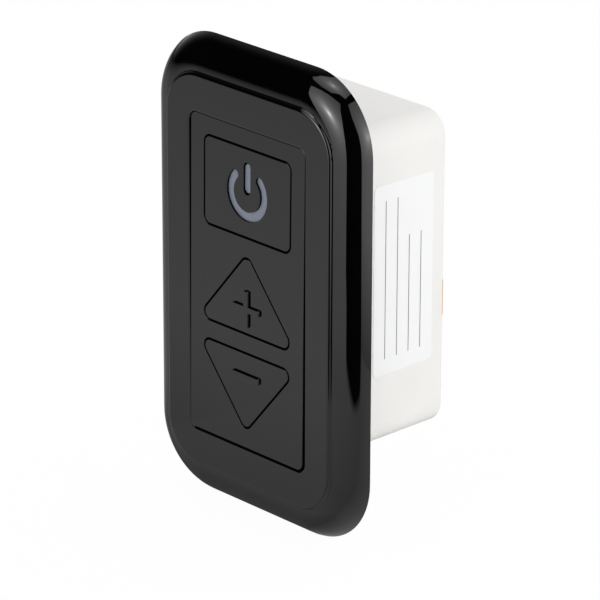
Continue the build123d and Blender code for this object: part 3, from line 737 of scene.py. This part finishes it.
# Painted reflection: glossy rays see this level as the floor's emission.
painted_reflection_level = chain(tree, "MULTIPLY", chain(tree, "ADD", even_level, painted_right_glow), kept)
painted_reflection = tree.nodes.new("ShaderNodeEmission")
tree.links.new(painted_reflection_level, painted_reflection.inputs["Strength"])
paper = tree.nodes.new("ShaderNodeBsdfDiffuse")
paper.inputs["Color"].default_value = (paper_white, paper_white, paper_white, 1.0)
white = tree.nodes.new("ShaderNodeEmission")
white.inputs["Strength"].default_value = 1.0
seen = shader_mix(tree, white_share, paper.outputs["BSDF"], white.outputs["Emission"])
rays = tree.nodes.new("ShaderNodeLightPath")
unseen = shader_mix(
    tree, rays.outputs["Is Glossy Ray"], paper.outputs["BSDF"], painted_reflection.outputs["Emission"]
)
floor_output = tree.nodes.new("ShaderNodeOutputMaterial")
floor_skin = shader_mix(tree, rays.outputs["Is Camera Ray"], unseen, seen)
tree.links.new(floor_skin, floor_output.inputs["Surface"])
floor.data.materials.append(floor_paper)


# Reflection cards: three flat sheets, in front, on the right and overhead, that glow only in the gloss and
# light nothing.
# Each is a painted reflection with a painted hot spot where a lamp behind it would be; the camera looks
# through the gap between two.
def reflection_card(name, corners, painted_hotspot_place, ways, level, glare, fall, low_level, low_reach):
    """Flat sheet through these corners that glows as a painted reflection round a painted hot spot and is
    dimmer near the floor.
    """
    bpy.ops.object.select_all(action="DESELECT")
    bpy.ops.mesh.primitive_circle_add(vertices=len(corners), fill_type="NGON")
    panel = bpy.context.object
    panel.name = name
    for vertex, corner in zip(panel.data.vertices, corners):
        vertex.co = corner
    panel.visible_camera = False
    panel.visible_diffuse = False
    panel.visible_shadow = False
    painted_glow = bpy.data.materials.new(name)
    painted_glow.use_nodes = True
    tree = painted_glow.node_tree
    tree.nodes.clear()
    place = tree.nodes.new("ShaderNodeTexCoord")
    # Painted highlight: the glow is brightest at the hot spot and fades away from it.
    offset = vector_chain(tree, "SUBTRACT", place.outputs["Object"], painted_hotspot_place)
    square = 1.0
    for way in ways:
        step = vector_chain(tree, "DOT_PRODUCT", offset, way)
        square = chain(tree, "MULTIPLY_ADD", step, step, square)
    fading = chain(tree, "POWER", square, -fall)
    # Painted shade: the glow is dimmer near the floor.
    height = components(tree, place.outputs["Object"])["Z"]
    lower = ramp(tree, height, floor_height, floor_height + low_reach, low_level, 1.0)
    glow = tree.nodes.new("ShaderNodeEmission")
    strength = chain(tree, "MULTIPLY", chain(tree, "MULTIPLY_ADD", fading, glare, level), lower)
    tree.links.new(strength, glow.inputs["Strength"])
    output = tree.nodes.new("ShaderNodeOutputMaterial")
    tree.links.new(glow.outputs["Emission"], output.inputs["Surface"])
    panel.data.materials.append(painted_glow)


def upright(bearing, distance, across, height):
    """Point on an upright sheet that faces the dimmer, from its bearing, distance, side step and height."""
    turn = radians(bearing)
    outward = Vector((sin(turn), -cos(turn), 0.0))
    sideways = Vector((cos(turn), sin(turn), 0.0))
    return outward * distance + sideways * across + Vector((0.0, 0.0, height))


def glow_ways(bearing, turn, long_reach, short_reach):
    """The two directions on an upright sheet in which its glow fades, over their reaches."""
    sideways = Vector((cos(radians(bearing)), sin(radians(bearing)), 0.0))
    upward = Vector((0.0, 0.0, 1.0))
    along = sideways * cos(turn) + upward * sin(turn)
    across = upward * cos(turn) - sideways * sin(turn)
    return along / long_reach, across / short_reach


front_bearing = 3
front_distance = 0.097
front_outline = (
    (0.049, floor_height),
    (0.049, -0.032),
    (0.045, -0.022),
    (0.045, 0.150),
    (-0.086, 0.150),
    (-0.024, 0.012),
    (-0.020, floor_height),
)
reflection_card(
    "front_reflection_card",
    corners=[upright(front_bearing, front_distance, across, height) for across, height in front_outline],
    painted_hotspot_place=upright(front_bearing, front_distance, 0.0, 0.0725),
    ways=glow_ways(front_bearing, turn=-0.60, long_reach=0.0058, short_reach=0.0034),
    level=0.556,
    glare=17.3,
    fall=0.545,
    low_level=0.87,
    low_reach=0.018,
)
right_bearing = 85
right_distance = 0.147
right_outline = (
    (0.150, floor_height),
    (0.150, 0.270),
    (-0.122, 0.270),
    (-0.110, 0.160),
    (-0.076, 0.080),
    (-0.068, 0.040),
    (-0.0665, 0.0),
    (-0.0595, floor_height),
)
reflection_card(
    "right_reflection_card",
    corners=[upright(right_bearing, right_distance, across, height) for across, height in right_outline],
    painted_hotspot_place=upright(right_bearing, right_distance, -0.0177, 0.0717),
    ways=glow_ways(right_bearing, turn=0.12, long_reach=0.0078, short_reach=0.0117),
    level=0.40,
    glare=6.3,
    fall=0.369,
    low_level=0.41,
    low_reach=0.034,
)
top_height = 0.250
top_outline = (
    (-0.150, -0.075),
    (-0.145, -0.105),
    (-0.075, -0.150),
    (0.0, -0.150),
    (0.045, -0.100),
    (0.085, -0.095),
    (0.085, 0.100),
    (-0.020, 0.100),
    (-0.020, 0.0),
)
reflection_card(
    "top_reflection_card",
    corners=[Vector((across, back, top_height)) for across, back in top_outline],
    painted_hotspot_place=Vector((-0.0054, -0.0728, top_height)),
    ways=(Vector((1.0, 0.0, 0.0)) / 0.0096, Vector((0.0, 1.0, 0.0)) / 0.0061),
    level=0.0,
    glare=6.9,
    fall=0.352,
    low_level=1.0,
    low_reach=0.001,
)


# Lamps: three large soft lamps, overhead, on the right and in front.
# They light the matt surfaces evenly, and don't show to the camera or in the gloss.
lamp_size = 0.6


def soft_lamp(name, place, power):
    """Square lamp that faces the dimmer."""
    bpy.ops.object.light_add(type="AREA", location=place)
    lamp = bpy.context.object
    lamp.name = name
    lamp.data.shape = "SQUARE"
    lamp.data.size = lamp_size
    lamp.data.energy = power
    lamp.rotation_euler = (-Vector(place)).to_track_quat("-Z", "Y").to_euler()
    lamp.visible_glossy = False
    lamp.visible_camera = False


soft_lamp("top_lamp", place=(0.1, 0.1, 0.7), power=0.49)
soft_lamp("right_lamp", place=(0.7, -0.1, -0.02), power=2.12)
soft_lamp("front_lamp", place=(-0.1, -0.7, 0.25), power=0.75)

# Surroundings: a white backdrop for the camera and a soft even light for matt surfaces.
# In the gloss the room in front is dark, and the white backdrop shows from the sides to the back.
ambient_level = 0.84
backdrop_level = 1.0
backdrop_span = (-0.3, 0.5)
backdrop_fade = 2.5


def backdrop_light(tree, strength):
    """White light of this strength from all round."""
    node = tree.nodes.new("ShaderNodeBackground")
    node.inputs["Color"].default_value = (1.0, 1.0, 1.0, 1.0)
    if isinstance(strength, float):
        node.inputs["Strength"].default_value = strength
    else:
        tree.links.new(strength, node.inputs["Strength"])
    return node.outputs["Background"]


room = bpy.data.worlds.new("room")
room.use_nodes = True
bpy.context.scene.world = room
tree = room.node_tree
tree.nodes.clear()
direction = tree.nodes.new("ShaderNodeTexCoord")
backward = ramp(tree, components(tree, direction.outputs["Generated"])["Y"], *backdrop_span, 0.0, 1.0)
reflected = backdrop_light(tree, chain(tree, "POWER", backward, backdrop_fade))
rays = tree.nodes.new("ShaderNodeLightPath")
ambient = backdrop_light(tree, ambient_level)
unseen = shader_mix(tree, rays.outputs["Is Glossy Ray"], ambient, reflected)
shown = chain(tree, "MAXIMUM", rays.outputs["Is Camera Ray"], rays.outputs["Is Transmission Ray"])
backdrop = backdrop_light(tree, backdrop_level)
room_light = shader_mix(tree, shown, unseen, backdrop)
room_output = tree.nodes.new("ShaderNodeOutputWorld")
tree.links.new(room_light, room_output.inputs["Surface"])

# Camera: a long lens, from the right and a little above, as in the photograph.
# It looks past the dimmer's middle by these steps to its right and below, and leans a little.
yaw = radians(46.730)
pitch = radians(21.418)
lean = radians(0.165)
camera_distance = 0.969856
step_right = 0.007760
step_down = 0.003414
away = Vector((sin(yaw) * cos(pitch), -cos(yaw) * cos(pitch), sin(pitch)))
level_right = Vector((cos(yaw), sin(yaw), 0.0))
level_up = away.cross(level_right)
right = level_right * cos(lean) + level_up * sin(lean)
up = level_up * cos(lean) - level_right * sin(lean)
eye = right * step_right - up * step_down + away * camera_distance
bpy.ops.object.camera_add(location=eye)
camera = bpy.context.object
camera.matrix_world = Matrix.Translation(eye) @ Matrix((right, up, away)).transposed().to_4x4()
camera.data.sensor_width = 36.0
camera.data.lens = 251.83
bpy.context.scene.camera = camera
bpy.context.scene.view_settings.view_transform = "Standard"
